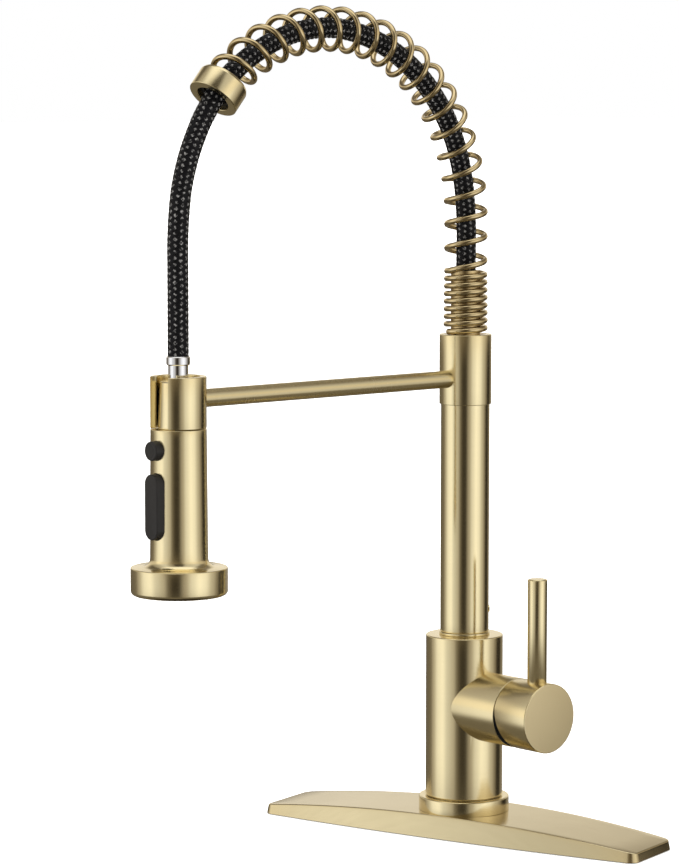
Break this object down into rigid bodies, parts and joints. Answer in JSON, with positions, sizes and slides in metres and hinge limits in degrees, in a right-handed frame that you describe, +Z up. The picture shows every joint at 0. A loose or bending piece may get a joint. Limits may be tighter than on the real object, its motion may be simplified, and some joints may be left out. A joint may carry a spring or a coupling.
{
  "type": "pull down kitchen faucet",
  "caption": "Pull down kitchen faucet: swivelling column with a spring arch, a docked spray head on a hose, a side lever and a crowned deck plate.",
  "frame": {"origin": "on the column's axis, in the plane of the deck, which is the underside of the deck plate and its gasket", "axes": "+Z up, -Y from the column towards the spray head, +X from the column towards the handle"},
  "size_m": [0.2526, 0.2958, 0.5679],
  "materials": {
    "brushed_gold": "satin brushed gold plating",
    "gold_sheet": "satin brushed gold finish on formed sheet",
    "gold_wire": "satin gold finish on spring wire",
    "gold_shell": "satin gold finish on the spray head",
    "raw_brass": "machined brass, unplated",
    "bright_steel": "turned stainless steel",
    "hose_braid": "hose in a woven black sleeve",
    "seal_rubber": "soft black rubber",
    "nozzle_rubber": "grey silicone",
    "black_plastic": "black, fine matte texture",
    "white_plastic": "natural moulded plastic",
    "red_plastic": "moulded plastic",
    "white_ceramic": "polished alumina"
  },
  "bodies": {
    "root": {"deck_plate": "gold_sheet", "deck_gasket": "seal_rubber", "base_ring": "brushed_gold", "base_seal": "seal_rubber", "faucet_body": "brushed_gold", "valve_boss": "brushed_gold", "mounting_shank": "raw_brass", "rubber_washer": "seal_rubber", "steel_washer": "bright_steel", "mounting_nut": "raw_brass", "swivel_ring": "brushed_gold", "pivot_circlip": "bright_steel", "cartridge_base_seal": "red_plastic", "cartridge_case": "white_plastic", "fixed_ceramic_disc": "white_ceramic", "cartridge_nut": "raw_brass", "hose_base": "hose_braid", "hose_tail_plug": "bright_steel"},
    "cartridge": {"cartridge_rotor": "white_plastic", "cartridge_pin": "bright_steel"},
    "ceramic_disc": {"moving_ceramic_disc": "white_ceramic"},
    "handle": {"cartridge_stem": "bright_steel", "handle_hub": "brushed_gold", "handle_lever": "brushed_gold", "handle_set_screw": "bright_steel"},
    "column": {"column_tube": "brushed_gold", "column_sleeve": "brushed_gold", "pivot_nipple": "raw_brass", "pivot_seals": "seal_rubber", "column_set_screw": "brushed_gold", "spring_seat": "raw_brass", "arch_spring": "gold_wire", "spring_collar": "brushed_gold", "collar_liner": "seal_rubber", "dock_arm": "brushed_gold", "dock_sleeve": "brushed_gold", "dock_screw": "bright_steel", "hose_column": "hose_braid"},
    "hose_end": {"hose_ferrule": "bright_steel", "hose_stem": "bright_steel", "hose_seal": "seal_rubber", "hose_drop": "hose_braid"},
    "spray_head": {"head_neck": "brushed_gold", "swivel_clip": "bright_steel", "filter_screen": "bright_steel", "head_shell": "gold_shell", "waterway_core": "white_plastic", "rocker_pin": "bright_steel", "spray_housing": "white_plastic", "nozzle_pad": "nozzle_rubber", "spray_face": "black_plastic", "aerator": "bright_steel"},
    "diverter": {"diverter_spool": "red_plastic"},
    "pause": {"pause_button": "black_plastic"},
    "rocker": {"rocker_button": "black_plastic"}
  },
  "joints": [
    {"name": "column_swivel", "type": "hinge", "parent": "root", "child": "column", "pos_m": [0, 0, 0.118], "axis": [0, 0, 1], "continuous": true},
    {"name": "pull_down", "type": "slide", "parent": "column", "child": "hose_end", "axis": [0, 0, -1], "range_m": [0, 0.155], "deforming": ["hose_drop"]},
    {"name": "head_turn", "type": "hinge", "parent": "hose_end", "child": "spray_head", "pos_m": [0, -0.213, 0.27], "axis": [0, 0, 1], "continuous": true},
    {"name": "pause_press", "type": "slide", "parent": "spray_head", "child": "pause", "axis": [0, 1, 0], "range_m": [0, 0.002], "stiffness_N_per_m": 500, "springref_m": -0.001},
    {"name": "mode_rock", "type": "hinge", "parent": "spray_head", "child": "rocker", "pos_m": [0, -0.223, 0.2104], "axis": [1, 0, 0], "range_deg": [-4, 4]},
    {"name": "diverter_slide", "type": "slide", "parent": "spray_head", "child": "diverter", "axis": [0, 0, 1], "range_m": [-0.0008, 0.0008]},
    {"name": "handle_turn", "type": "hinge", "parent": "root", "child": "cartridge", "pos_m": [0.036, 0, 0.0765], "axis": [1, 0, 0], "range_deg": [-45, 45]},
    {"name": "handle_lift", "type": "hinge", "parent": "cartridge", "child": "handle", "pos_m": [0.036, 0, 0.0765], "axis": [0, 1, 0], "range_deg": [0, 11]},
    {"name": "disc_slide", "type": "slide", "parent": "cartridge", "child": "ceramic_disc", "axis": [0, 0, 1], "range_m": [0, 0.0014]}
  ],
  "couplings": [
    {"joint": "diverter_slide", "follows": "mode_rock", "m_per_rad": 0.01},
    {"joint": "disc_slide", "follows": "handle_lift", "m_per_rad": 0.0065}
  ]
}
